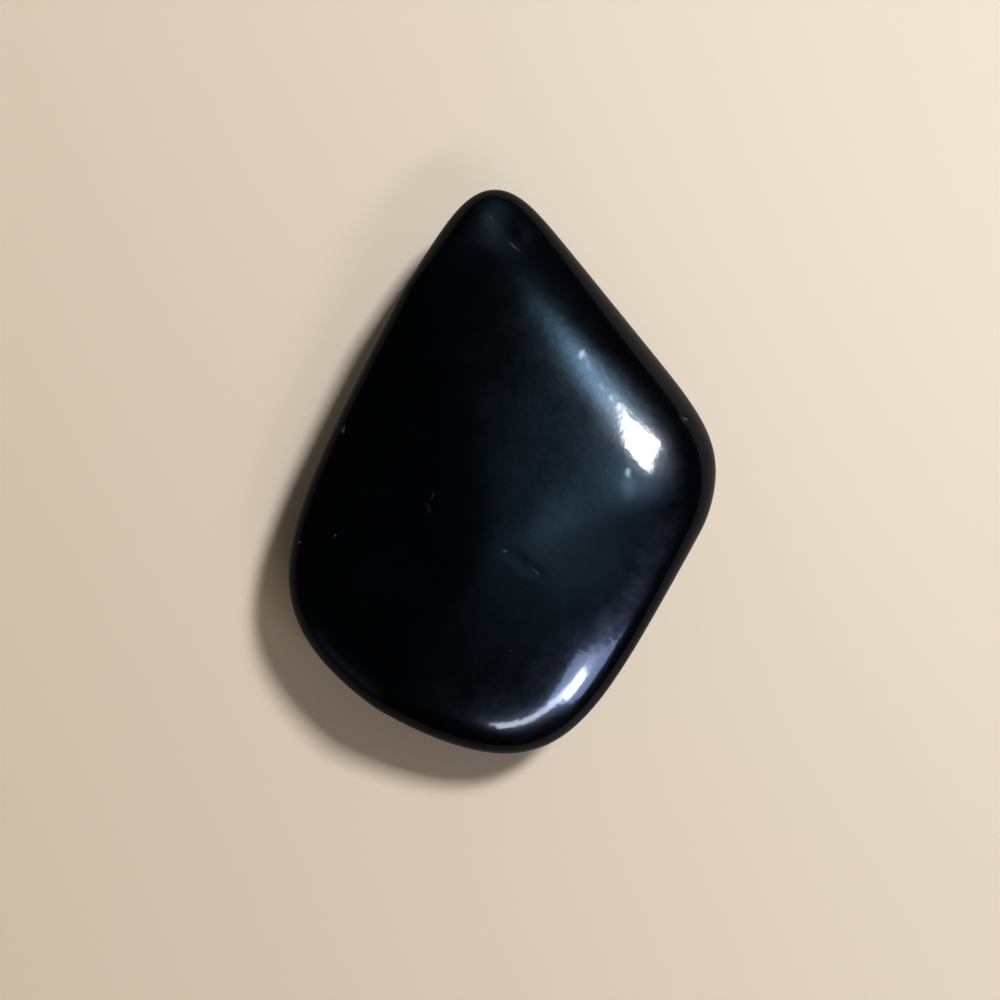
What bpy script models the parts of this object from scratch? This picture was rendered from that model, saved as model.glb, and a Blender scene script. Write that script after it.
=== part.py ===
"""Tumbled black agate: one flat, kite-shaped pebble, polished all over.  Metres, +Z up.

The pebble lies flat.  Its tip points along +Y, its crown faces +Z, and the origin is on the
resting plane, under the centre of its bounding box.
"""
import math

import bmesh
import bpy
import numpy as np

MM = 0.001

# Driving sizes, in millimetres.
LENGTH = 24.8        # foot to tip, along +Y
WIDTH = 18.4         # left flank to right corner, along +X
ROLL = 0.65          # radius that tumbling has rolled onto every arris
REST_CUT = 0.05      # depth of the worn flat that the pebble rests on, and of the blend round it

# A tumbled pebble is a rough chip whose broken faces were ground flat and then rounded into
# each other.  Each face is given by the way it faces and by its reach from the pebble's heart,
# both before the arrises are rolled.
# Flanks stand round the outline: facing in degrees from +X, reach in millimetres.
FLANKS = (
    (38, 7.6),       # upper right, the longest and straightest
    (135, 12.9),     # blunt end of the tip
    (152, 6.9),      # upper left
    (184, 10.5),     # left corner
    (236, 11.3),     # lower left
    (280, 12.7),     # foot
    (330, 7.8),      # lower right
)
# Crown faces: facing, tilt from +Z in degrees, reach in millimetres.
CROWN = (
    (0, 0, 0.8),     # level middle
    (36, 8, 1.25),   # broad plane that leans to the upper right flank
    (38, 24, 3.25),  # its steeper shoulder, along the right corner
    (58, 12, 1.75),  # the shoulder's lower end, towards the tip
    (88, 5, 1.05),   # gentle fall to the tip
    (186, 11, 1.2),  # plane beside the left corner
    (289, 10, 1.4),  # plane beside the foot
    (317, 15, 3.1),  # corner between the foot and the lower right flank
)
UNDERSIDE = 3.95     # reach of the single, level face below the heart

# How crisply faces meet: 2 gives an egg, and a high number gives a sharp arris.
FLANK_CRISPNESS = 7
CROWN_CRISPNESS = 13
EDGE_CRISPNESS = 2.7 # where the crown and the underside roll over into the flanks

# Shallow hollows left in the crown: x, y, radius and depth in millimetres.
HOLLOWS = (
    (3.4, -3.8, 2.8, 0.05),     # wide, faint hollow right of the middle
    (0.7, 9.9, 0.8, 0.06),      # dent beside the tip
)
ABOVE_RIM = 3.2      # hollows lie higher than this

CELLS = 28           # quads along each side of the cube that the pebble is worn from
BALL_HEIGHT = 4.0    # half height of the squashed ball that spreads them over crown and rim
STEP = 0.001         # distance over which the slope of the chip is measured, in millimetres


def worn(faces, crispness, points):
    """How far each point lies towards the rounded hull of these faces: 1 is on the hull."""
    total = np.zeros(len(points))
    for facing, tilt, reach in faces:
        around, down = math.radians(facing), math.radians(tilt)
        normal = (math.sin(down) * math.cos(around), math.sin(down) * math.sin(around),
                  math.cos(down))
        total += np.maximum(0.0, points @ np.array(normal) / reach) ** crispness
    return total ** (1.0 / crispness)


def chip(points):
    """How far each point lies towards the ground chip: 1 is on its surface."""
    flanks = worn([(facing, 90, reach) for facing, reach in FLANKS], FLANK_CRISPNESS, points)
    crown = worn(CROWN, CROWN_CRISPNESS, points)
    under = worn([(0, 180, UNDERSIDE)], 1, points)
    total = flanks ** EDGE_CRISPNESS + crown ** EDGE_CRISPNESS + under ** EDGE_CRISPNESS
    return total ** (1.0 / EDGE_CRISPNESS)


def roll_arrises(surface):
    """Push the chip's surface out along its normals, as a ball rolled over it would."""
    slope = np.array([chip(surface + side) - chip(surface - side) for side in STEP * np.eye(3)])
    surface += ROLL * (slope / np.linalg.norm(slope, axis=0)).T


def fit_to_size(surface):
    """Centre the pebble over the origin, stand it on z = 0 and give it its length and width."""
    low, high = surface.min(axis=0), surface.max(axis=0)
    surface -= ((low[0] + high[0]) / 2, (low[1] + high[1]) / 2, low[2])
    surface *= (WIDTH / (high[0] - low[0]), LENGTH / (high[1] - low[1]), 1.0)


def press_hollows(surface):
    """Sink each hollow into the crown, deepest at its middle and level at its rim."""
    for x, y, radius, depth in HOLLOWS:
        away = np.hypot(surface[:, 0] - x, surface[:, 1] - y) / radius
        bowl = np.maximum(0.0, 1.0 - away ** 2) ** 2
        surface[:, 2] -= np.where(surface[:, 2] > ABOVE_RIM, depth * bowl, 0.0)


def wear_rest_flat(surface):
    """Wear the underside to one level flat at z = 0, blended into the curve around it."""
    height = surface[:, 2] - 2 * REST_CUT
    blend = (height + REST_CUT) ** 2 / (4 * REST_CUT)
    surface[:, 2] = np.where(height > REST_CUT, height, np.where(height < -REST_CUT, 0.0, blend))


def make_pebble():
    bm = bmesh.new()
    bmesh.ops.create_cube(bm, size=2.0)
    bmesh.ops.subdivide_edges(bm, edges=bm.edges[:], cuts=CELLS - 1, use_grid_fill=True)
    cube = np.array([vert.co for vert in bm.verts])
    ball = np.tan(cube * math.pi / 4)
    ball /= np.linalg.norm(ball, axis=1)[:, None]
    surface = ball * (WIDTH / 2, LENGTH / 2, BALL_HEIGHT)
    surface /= chip(surface)[:, None]
    roll_arrises(surface)
    fit_to_size(surface)
    press_hollows(surface)
    wear_rest_flat(surface)
    for vert, point in zip(bm.verts, surface * MM):
        vert.co = point
    bmesh.ops.recalc_face_normals(bm, faces=bm.faces[:])
    mesh = bpy.data.meshes.new("black_agate")
    bm.to_mesh(mesh)
    bm.free()
    mesh.shade_smooth()
    pebble = bpy.data.objects.new("black_agate", mesh)
    bpy.context.scene.collection.objects.link(pebble)
    return pebble


def polished_agate():
    stone = bpy.data.materials.new("polished_black_agate")
    stone.use_nodes = True
    surface = stone.node_tree.nodes["Principled BSDF"]
    surface.inputs["Base Color"].default_value = (0.0035, 0.0037, 0.0045, 1.0)
    surface.inputs["Roughness"].default_value = 0.12
    surface.inputs["Metallic"].default_value = 0.0
    return stone


for old in list(bpy.data.objects):
    bpy.data.objects.remove(old)
agate = make_pebble()
agate.data.materials.append(polished_agate())
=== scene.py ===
import math

import bmesh
import bpy
import numpy as np
from mathutils import Matrix, Vector, noise


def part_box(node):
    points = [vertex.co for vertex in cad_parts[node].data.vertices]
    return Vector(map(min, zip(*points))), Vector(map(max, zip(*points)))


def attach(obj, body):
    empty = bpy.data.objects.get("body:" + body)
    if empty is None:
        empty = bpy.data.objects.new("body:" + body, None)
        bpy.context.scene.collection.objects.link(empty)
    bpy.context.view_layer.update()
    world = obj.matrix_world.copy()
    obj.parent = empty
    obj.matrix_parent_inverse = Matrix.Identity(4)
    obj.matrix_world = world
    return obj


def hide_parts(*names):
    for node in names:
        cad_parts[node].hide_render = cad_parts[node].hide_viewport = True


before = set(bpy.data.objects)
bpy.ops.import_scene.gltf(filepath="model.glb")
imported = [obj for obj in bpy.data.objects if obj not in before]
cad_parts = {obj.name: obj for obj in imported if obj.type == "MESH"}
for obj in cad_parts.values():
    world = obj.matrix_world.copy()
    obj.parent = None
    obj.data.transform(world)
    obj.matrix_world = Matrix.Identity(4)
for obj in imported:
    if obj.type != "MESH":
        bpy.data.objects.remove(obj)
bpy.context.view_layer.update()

# ---------------------------------------------------------------------------------------------
# The stone.  A flat chip of black chalcedony, tumbled with grit until its broken faces met in
# soft arrises, then with fine polish until it shone like glass.  Its faces are still a little
# wavy, and a dull facet, a dent and a few nicks are left at the tip and along the edges.
# ---------------------------------------------------------------------------------------------
MM = 0.001           # sizes are in millimetres, unless a comment says otherwise
ROLL = 0.65          # radius that tumbling has rolled onto every arris
REST_CUT = 0.05      # depth of the worn flat that the stone rests on
FLANKS = (           # facing in degrees from +X, reach from the stone's heart
    (38, 7.6),       # upper right, the longest and straightest
    (135, 12.9),     # blunt end of the tip
    (152, 6.9),      # upper left
    (184, 10.5),     # left corner
    (236, 11.3),     # lower left
    (280, 12.7),     # foot
    (330, 7.8),      # lower right
)
CROWN = (            # facing from +X and tilt from +Z in degrees, reach
    (0, 0, 0.8),     # level middle
    (36, 8, 1.25),   # broad plane that leans to the upper right flank
    (38, 24, 3.25),  # its steeper shoulder, along the right corner
    (58, 12, 1.75),  # the shoulder's lower end, towards the tip
    (88, 5, 1.05),   # gentle fall to the tip
    (186, 11, 1.2),  # plane beside the left corner
    (289, 10, 1.4),  # plane beside the foot
    (317, 15, 3.1),  # corner between the foot and the lower right flank
)
UNDERSIDE = 3.95     # reach of the single, level face below the heart
FLANK_CRISPNESS = 7  # how crisply flanks meet: 2 gives an egg, and a high number a sharp arris
CROWN_CRISPNESS = 13
EDGE_CRISPNESS = 2.7  # where the crown and the underside roll over into the flanks
HOLLOWS = (          # x, y, radius, depth
    (3.4, -3.8, 2.8, 0.05),     # wide, faint hollow right of the middle
    (0.7, 9.9, 0.8, 0.06),      # dent beside the tip
)
ABOVE_RIM = 3.2      # hollows and nicks lie higher than this
CELLS = 128          # quads along each side of the cube that the stone is worn from
BALL_HEIGHT = 4.0    # half height of the squashed ball that spreads them over crown and rim
STEP = 0.001         # distance over which the slope of the chip is measured


def worn(faces, crispness, points):
    """How far each point lies towards the rounded hull of these faces: 1 is on the hull."""
    total = np.zeros(len(points))
    for facing, tilt, reach in faces:
        around, down = math.radians(facing), math.radians(tilt)
        normal = (math.sin(down) * math.cos(around), math.sin(down) * math.sin(around),
                  math.cos(down))
        total += np.maximum(0.0, points @ np.array(normal) / reach) ** crispness
    return total ** (1.0 / crispness)


def chip(points):
    """How far each point lies towards the ground chip: 1 is on its surface."""
    flanks = worn([(facing, 90, reach) for facing, reach in FLANKS], FLANK_CRISPNESS, points)
    crown = worn(CROWN, CROWN_CRISPNESS, points)
    under = worn([(0, 180, UNDERSIDE)], 1, points)
    total = flanks ** EDGE_CRISPNESS + crown ** EDGE_CRISPNESS + under ** EDGE_CRISPNESS
    return total ** (1.0 / EDGE_CRISPNESS)


def outward(surface):
    """The normals of the chip's surface at these points."""
    slope = np.array([chip(surface + side) - chip(surface - side) for side in STEP * np.eye(3)])
    return (slope / np.linalg.norm(slope, axis=0)).T


# A cube of quads is blown up to a ball, which spreads them evenly, and shrunk onto the chip.
cad_low, cad_high = (np.array(corner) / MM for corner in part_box("black_agate"))
stone_bm = bmesh.new()
bmesh.ops.create_cube(stone_bm, size=2.0)
bmesh.ops.subdivide_edges(stone_bm, edges=stone_bm.edges[:], cuts=CELLS - 1, use_grid_fill=True)
ball = np.tan(np.array([vert.co for vert in stone_bm.verts]) * math.pi / 4)
ball /= np.linalg.norm(ball, axis=1)[:, None]
surface = ball * (cad_high[0], cad_high[1], BALL_HEIGHT)
surface /= chip(surface)[:, None]
# Its arrises are rolled, as by a ball that runs over them, and it takes the solid's size.
normals = outward(surface)
surface += ROLL * normals
low, high = surface.min(axis=0), surface.max(axis=0)
surface -= ((low[0] + high[0]) / 2, (low[1] + high[1]) / 2, low[2])
surface[:, :2] *= ((cad_high - cad_low) / (high - low))[:2]
for x, y, radius, depth in HOLLOWS:
    away = np.hypot(surface[:, 0] - x, surface[:, 1] - y) / radius
    bowl = np.maximum(0.0, 1.0 - away ** 2) ** 2
    surface[:, 2] -= np.where(surface[:, 2] > ABOVE_RIM, depth * bowl, 0.0)
# The underside is worn to one level flat at z = 0, blended into the curve around it.
height = surface[:, 2] - 2 * REST_CUT
blend = (height + REST_CUT) ** 2 / (4 * REST_CUT)
surface[:, 2] = np.where(height > REST_CUT, height, np.where(height < -REST_CUT, 0.0, blend))

NICKS = (            # x, y, half length, half width, turn in degrees, depth
    (0.75, 9.75, 0.60, 0.50, 130, 0.012),    # floor of the dent beside the tip
    (-0.95, 11.1, 0.60, 0.35, 25, 0.030),    # scuffs round the tip
    (-0.60, 10.6, 0.45, 0.30, 105, 0.020),
    (7.65, 1.60, 0.35, 0.25, -15, 0.050),    # notch in the right flank's upper edge
    (-3.25, -2.3, 0.60, 0.25, 95, 0.006),    # bruise under the curved scratch
    (0.60, -4.8, 1.40, 0.45, -35, 0.010),    # bruise between the pits near the hollow
)
for x, y, long, wide, turn, depth in NICKS:
    turn = math.radians(turn)
    along = ((surface[:, 0] - x) * math.cos(turn) + (surface[:, 1] - y) * math.sin(turn)) / long
    across = ((surface[:, 1] - y) * math.cos(turn) - (surface[:, 0] - x) * math.sin(turn)) / wide
    bowl = np.maximum(0.0, 1.0 - along ** 2 - across ** 2) ** 2 * (surface[:, 2] > ABOVE_RIM)
    surface -= (depth * bowl)[:, None] * normals
WAVES = (            # length and height of the waves that polishing left
    (5.0, 0.006),
    (1.6, 0.0018),
    (0.7, 0.0006),
)
for length, swell in WAVES:
    ripple = np.array([noise.noise(Vector(point) / length) for point in surface])
    surface += (ripple * swell)[:, None] * normals
surface[:, 2] = np.maximum(surface[:, 2], 0.0)
for vert, point in zip(stone_bm.verts, surface * MM):
    vert.co = point
bmesh.ops.recalc_face_normals(stone_bm, faces=stone_bm.faces[:])
stone_mesh = bpy.data.meshes.new("tumbled_stone")
stone_bm.to_mesh(stone_mesh)
stone_bm.free()
stone_mesh.shade_smooth()
stone = bpy.data.objects.new("tumbled_stone", stone_mesh)
bpy.context.scene.collection.objects.link(stone)


def linear(colour):
    """An sRGB hex colour as the linear values that a shader takes."""
    parts = [int(colour[i:i + 2], 16) / 255 for i in (1, 3, 5)]
    return [c / 12.92 if c <= 0.04045 else ((c + 0.055) / 1.055) ** 2.4 for c in parts] + [1.0]


def node(tree, kind, settings=(), **inputs):
    """Add a node.  An input is a plain value or the output socket that feeds it.

    Inputs go by name, as in From_Min for From Min, or by number, as in _0 for the first.
    """
    made = tree.nodes.new(kind)
    for name, value in dict(settings).items():
        setattr(made, name, value)
    for name, value in inputs.items():
        socket = made.inputs[int(name[1:]) if name[0] == "_" else name.replace("_", " ")]
        if isinstance(value, bpy.types.NodeSocket):
            tree.links.new(value, socket)
        else:
            socket.default_value = value
    return made


# Polished chalcedony: a clear glassy skin over ground that tumbling left a little matt, so
# that a sharp reflection sits in a broad bluish haze.  Chips and rubs are pale, because the
# polish never reached their floors.  The pits along the shoulder are partly painted highlight:
# they are painted larger and paler, as the bright flecks and haze beside the key's reflection.
polish = bpy.data.materials.new("polished_black_chalcedony")
polish.use_nodes = True
tree = polish.node_tree
shader = tree.nodes["Principled BSDF"]
place = node(tree, "ShaderNodeTexCoord").outputs["Object"]
MARKS = (            # x, y, z, half length, half width, turn in degrees, how pale from 0 to 1
    (-0.52, 10.6, 4.65, 0.16, 0.06, 108, 0.12),    # chip at the tip
    (0.42, 9.12, 5.05, 0.38, 0.08, -47, 0.09),     # rubbed edge of the dent
    (-0.62, 10.45, 4.75, 0.85, 0.50, 100, 0.017),  # dull facet that runs down from the chip
    (-0.45, 9.75, 4.90, 0.95, 0.80, 60, 0.010),
    (-0.10, 9.05, 5.00, 1.40, 0.75, -35, 0.008),
    (7.65, 1.60, 4.80, 0.20, 0.07, -15, 0.20),     # notch
    (-6.87, 1.18, 4.30, 0.24, 0.05, 70, 0.15),     # bruises on the left
    (-8.71, -3.58, 3.77, 0.08, 0.06, 0, 0.30),
    (-7.20, -3.42, 4.55, 0.09, 0.05, 30, 0.12),
    (-3.15, -1.95, 5.64, 0.18, 0.05, 60, 0.035),   # curved scratch
    (-3.33, -2.40, 5.59, 0.25, 0.06, 95, 0.035),
    (-0.19, -4.26, 5.85, 0.10, 0.07, 20, 0.10),    # pits near the hollow
    (1.09, -5.11, 5.66, 0.20, 0.06, -42, 0.08),
    (0.03, -8.29, 5.07, 0.08, 0.06, 0, 0.05),
    (3.20, 4.19, 5.61, 0.28, 0.18, 65, 0.95),      # shoulder pits, painted as highlight flecks and haze
    (3.38, 3.76, 5.62, 0.40, 0.16, -68, 0.20),
    (3.35, 3.90, 5.60, 0.80, 0.38, -62, 0.06),
    (3.99, 2.76, 5.75, 0.24, 0.12, -60, 0.28),
    (4.38, 2.24, 5.79, 0.26, 0.13, -55, 0.30),
    (4.96, -0.98, 5.83, 0.23, 0.16, 80, 0.85),
    (4.94, -1.55, 5.80, 0.70, 0.38, 88, 0.10),
)
MARK_DEPTH = 1.5     # marks lie on the crown only
MARK_REACH = 1.2     # where a mark has faded out, as a share of its half sizes
RAGGED = 0.35        # how far noise pulls the edges of the marks about
RAGGED_GRAIN = 0.4   # size of the noise that does so
CLOUD = 3.0          # clouds in the black
HAZE = 1.2           # patches where the ground is more or less matt
PEEL = 0.35          # bumps of orange peel
PEEL_HEIGHT = 0.0028  # how high they stand
pull = node(tree, "ShaderNodeTexNoise", Vector=place, Scale=1 / (RAGGED_GRAIN * MM), Detail=2.0)
level = node(tree, "ShaderNodeVectorMath", {"operation": "SUBTRACT"}, _0=pull.outputs["Color"],
             _1=(0.5, 0.5, 0.5))
ragged = node(tree, "ShaderNodeVectorMath", {"operation": "MULTIPLY_ADD"},
              _0=level.outputs["Vector"], _1=(RAGGED * MM,) * 3, _2=place).outputs["Vector"]
pale = 0.0
for x, y, z, long, wide, turn, paleness in MARKS:
    moved = node(tree, "ShaderNodeMapping", {"vector_type": "TEXTURE"}, Vector=ragged,
                 Location=(x * MM, y * MM, z * MM), Rotation=(0.0, 0.0, math.radians(turn)),
                 Scale=(long * MM, wide * MM, MARK_DEPTH * MM))
    away = node(tree, "ShaderNodeVectorMath", {"operation": "LENGTH"},
                Vector=moved.outputs["Vector"])
    spot = node(tree, "ShaderNodeMapRange", {"interpolation_type": "SMOOTHSTEP"},
                Value=away.outputs["Value"], From_Min=MARK_REACH, From_Max=0.0, To_Max=paleness)
    pale = node(tree, "ShaderNodeMath", {"operation": "ADD"}, _0=pale,
                _1=spot.outputs["Result"]).outputs["Value"]
cloud = node(tree, "ShaderNodeTexNoise", Vector=place, Scale=1 / (CLOUD * MM), Detail=4.0)
tint = node(tree, "ShaderNodeValToRGB", Fac=cloud.outputs["Fac"])
tint.color_ramp.elements[0].color = linear("#010102")
tint.color_ramp.elements[1].color = linear("#040506")
# The base colour carries the pale wear and, on the shoulder, the painted highlight flecks.
wear_and_painted_highlight = node(tree, "ShaderNodeMix", {"data_type": "RGBA"}, _0=pale, _6=tint.outputs["Color"],
              _7=linear("#9DB2C4"))
tree.links.new(wear_and_painted_highlight.outputs[2], shader.inputs["Base Color"])
haze = node(tree, "ShaderNodeTexNoise", Vector=place, Scale=1 / (HAZE * MM), Detail=5.0,
            Roughness=0.65)
matt = node(tree, "ShaderNodeMapRange", Value=haze.outputs["Fac"], From_Min=0.3, From_Max=0.7,
            To_Min=0.15, To_Max=0.25)
tree.links.new(matt.outputs["Result"], shader.inputs["Roughness"])
# The polish's orange peel is really about 0.1 mm across.  It is drawn coarser, so that it shows.
peel = node(tree, "ShaderNodeTexNoise", Vector=place, Scale=1 / (PEEL * MM), Detail=1.5)
skin = node(tree, "ShaderNodeBump", Strength=1.0, Distance=PEEL_HEIGHT * MM,
            Height=peel.outputs["Fac"])
tree.links.new(skin.outputs["Normal"], shader.inputs["Normal"])
tree.links.new(skin.outputs["Normal"], shader.inputs["Coat Normal"])
# The IOR of 1.54 is chalcedony's own.  The specular level and the coat weigh the soft
# reflection against the sharp one.
shader.inputs["IOR"].default_value = 1.54
shader.inputs["Specular IOR Level"].default_value = 0.085
shader.inputs["Specular Tint"].default_value = linear("#D5E6FF")
shader.inputs["Coat Weight"].default_value = 0.13
shader.inputs["Coat Roughness"].default_value = 0.08
shader.inputs["Coat IOR"].default_value = 1.9
stone.data.materials.append(polish)
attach(stone, "root")
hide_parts("black_agate")

# ---------------------------------------------------------------------------------------------
# The floor.  A plain pale laminate table top, whose colour is painted a little lighter on the
# side of the key lamp, as painted light.
# Reflections show it darker than it is, so that the stone's edge stays dark.
# ---------------------------------------------------------------------------------------------
TABLE_RADIUS = 350.0
PAINTED_LIGHT_SIDE = 42.0  # degrees from +X
DRIFT = 45.0         # distance from the middle at which the top is darkest or lightest
floor_bm = bmesh.new()
bmesh.ops.create_circle(floor_bm, cap_ends=True, radius=TABLE_RADIUS * MM, segments=96)
floor_mesh = bpy.data.meshes.new("table_top")
floor_bm.to_mesh(floor_mesh)
floor_bm.free()
floor = bpy.data.objects.new("table_top", floor_mesh)
bpy.context.scene.collection.objects.link(floor)
laminate = bpy.data.materials.new("pale_laminate")
laminate.use_nodes = True
tree = laminate.node_tree
top = tree.nodes["Principled BSDF"]
place = node(tree, "ShaderNodeTexCoord").outputs["Object"]
# Painted light: the top's colour runs from darker to lighter towards the key lamp.
side = math.radians(PAINTED_LIGHT_SIDE)
drift = node(tree, "ShaderNodeVectorMath", {"operation": "DOT_PRODUCT"}, _0=place,
             _1=(math.cos(side), math.sin(side), 0.0))
share = node(tree, "ShaderNodeMapRange", {"interpolation_type": "SMOOTHSTEP"},
             Value=drift.outputs["Value"], From_Min=-DRIFT * MM, From_Max=DRIFT * MM)
tone = node(tree, "ShaderNodeMix", {"data_type": "RGBA"}, _0=share.outputs["Result"],
            _6=linear("#CEBDA9"), _7=linear("#EADECD"))
mirrored = node(tree, "ShaderNodeLightPath").outputs["Is Glossy Ray"]
seen = node(tree, "ShaderNodeMix", {"data_type": "RGBA"}, _0=mirrored, _6=tone.outputs[2],
            _7=linear("#726A5F"))
tree.links.new(seen.outputs[2], top.inputs["Base Color"])
top.inputs["Roughness"].default_value = 0.6
floor.data.materials.append(laminate)

# ---------------------------------------------------------------------------------------------
# The light.  A soft key from the upper right and a weak warm fill from the lower right light
# the table.  A strip, a window and a glint only draw their reflections along the foot, and
# soft glows on ceiling and walls are what the rest of the polish mirrors.
# ---------------------------------------------------------------------------------------------


def lamp(name, towards, azimuth, elevation, distance, wide, high, spin, radiance, colour):
    """An area lamp that looks at a point of the stone, which is given in millimetres.

    wide and high are half the angles, in degrees, under which the point sees the lamp.  Its
    distance is in metres, and spin turns it about its own axis.
    """
    data = bpy.data.lights.new(name, "AREA")
    data.shape = "RECTANGLE"
    data.size = 2 * distance * math.tan(math.radians(wide))
    data.size_y = 2 * distance * math.tan(math.radians(high))
    data.energy = radiance * math.pi * data.size * data.size_y
    data.color = linear(colour)[:3]
    made = bpy.data.objects.new(name, data)
    bpy.context.scene.collection.objects.link(made)
    around, rise = math.radians(azimuth), math.radians(elevation)
    away = Vector((math.cos(around) * math.cos(rise), math.sin(around) * math.cos(rise),
                   math.sin(rise)))
    made.matrix_world = (Matrix.Translation(Vector(towards) * MM + away * distance)
                         @ away.to_track_quat("Z", "Y").to_matrix().to_4x4()
                         @ Matrix.Rotation(math.radians(spin), 4, "Z"))
    return made


SHOULDER = (5.2, 0.7, 5.7)   # where the stone mirrors the key
FOOT = (3.2, -9.6, 4.3)      # where it mirrors the lamps on the foot's side
lamp("key", SHOULDER, azimuth=37, elevation=55.3, distance=0.80, wide=4.4, high=5.8, spin=22,
     radiance=93.0, colour="#FFFFFF")
fill = lamp("fill", FOOT, azimuth=-63, elevation=44.5, distance=0.66, wide=15, high=2.3, spin=3,
            radiance=14.5, colour="#FFEEDD")
fill.visible_glossy = False
strip = lamp("strip", FOOT, azimuth=-63.5, elevation=44.5, distance=0.60, wide=16, high=2.3,
             spin=3, radiance=42.0, colour="#DCEBFF")
window = lamp("window", FOOT, azimuth=-44, elevation=39.3, distance=0.80, wide=5.9, high=12.5,
              spin=22, radiance=18.0, colour="#B8CAFF")
glint = lamp("glint", FOOT, azimuth=-46, elevation=41, distance=0.70, wide=2.9, high=3.6,
             spin=15, radiance=115.0, colour="#EEF4FF")
for reflection in (strip, window, glint):
    reflection.visible_diffuse = False
GLOWS = (            # azimuth and elevation in degrees, how tight, radiance
    (-5, 70, 34, 1.35),      # ceiling above the foot
    (22, 66, 60, 4.8),       # ceiling round the key
    (51, 53, 220, 19.5),     # sheen beside the key
    (86, 25, 30, 0.70),      # wall beyond the tip
    (212, 18, 40, 0.35),     # wall to the left of the foot
)
world = bpy.data.worlds.new("room")
world.use_nodes = True
tree = world.node_tree
sky = node(tree, "ShaderNodeTexCoord").outputs["Generated"]
glow = 0.01                  # what the room gives where no glow is
for azimuth, elevation, tightness, radiance in GLOWS:
    around, rise = math.radians(azimuth), math.radians(elevation)
    aim = (math.cos(around) * math.cos(rise), math.sin(around) * math.cos(rise), math.sin(rise))
    facing = node(tree, "ShaderNodeVectorMath", {"operation": "DOT_PRODUCT"}, _0=sky, _1=aim)
    patch = node(tree, "ShaderNodeMath", {"operation": "POWER"}, _0=facing.outputs["Value"],
                 _1=float(tightness))
    glow = node(tree, "ShaderNodeMath", {"operation": "MULTIPLY_ADD"},
                _0=patch.outputs["Value"], _1=radiance, _2=glow).outputs["Value"]
room = tree.nodes["Background"]
room.inputs["Color"].default_value = linear("#DCCEB9")
room.inputs["Strength"].default_value = 0.16
ray = node(tree, "ShaderNodeLightPath").outputs
ceiling = node(tree, "ShaderNodeBackground", Color=linear("#A8DCFF"), Strength=glow)
backdrop = node(tree, "ShaderNodeBackground", Color=linear("#DCCEBE"), Strength=0.8)
shine = node(tree, "ShaderNodeMixShader", _0=ray["Is Glossy Ray"], _1=room.outputs[0],
             _2=ceiling.outputs[0])
seen = node(tree, "ShaderNodeMixShader", _0=ray["Is Camera Ray"], _1=shine.outputs[0],
            _2=backdrop.outputs[0])
tree.links.new(seen.outputs[0], tree.nodes["World Output"].inputs["Surface"])
bpy.context.scene.world = world
bpy.context.scene.view_settings.view_transform = "Standard"

# ---------------------------------------------------------------------------------------------
# The camera.  It is held above the stone and looks almost straight down, leaning back a
# little towards the foot, as one holds a camera over a table.
# ---------------------------------------------------------------------------------------------
LENS = 56.05         # focal length
SENSOR = 36.0
CAMERA_LEAN = 10.8   # degrees from vertical
CAMERA_FROM = 251.6  # side towards which it leans, in degrees from +X
CAMERA_AWAY = 65.84  # distance from the target
TARGET = Vector((-0.27, -1.83, 4.2))
lean, side = math.radians(CAMERA_LEAN), math.radians(CAMERA_FROM)
back = Vector((math.sin(lean) * math.cos(side), math.sin(lean) * math.sin(side), math.cos(lean)))
upright = back.cross(Vector((1, 0, 0))).normalized()
turn = Matrix((upright.cross(back), upright, back)).transposed().to_4x4()
camera_data = bpy.data.cameras.new("camera")
camera_data.lens = LENS
camera_data.sensor_width = SENSOR
camera_data.clip_start = 5 * MM
camera = bpy.data.objects.new("camera", camera_data)
bpy.context.scene.collection.objects.link(camera)
camera.matrix_world = Matrix.Translation((TARGET + back * CAMERA_AWAY) * MM) @ turn
bpy.context.scene.camera = camera
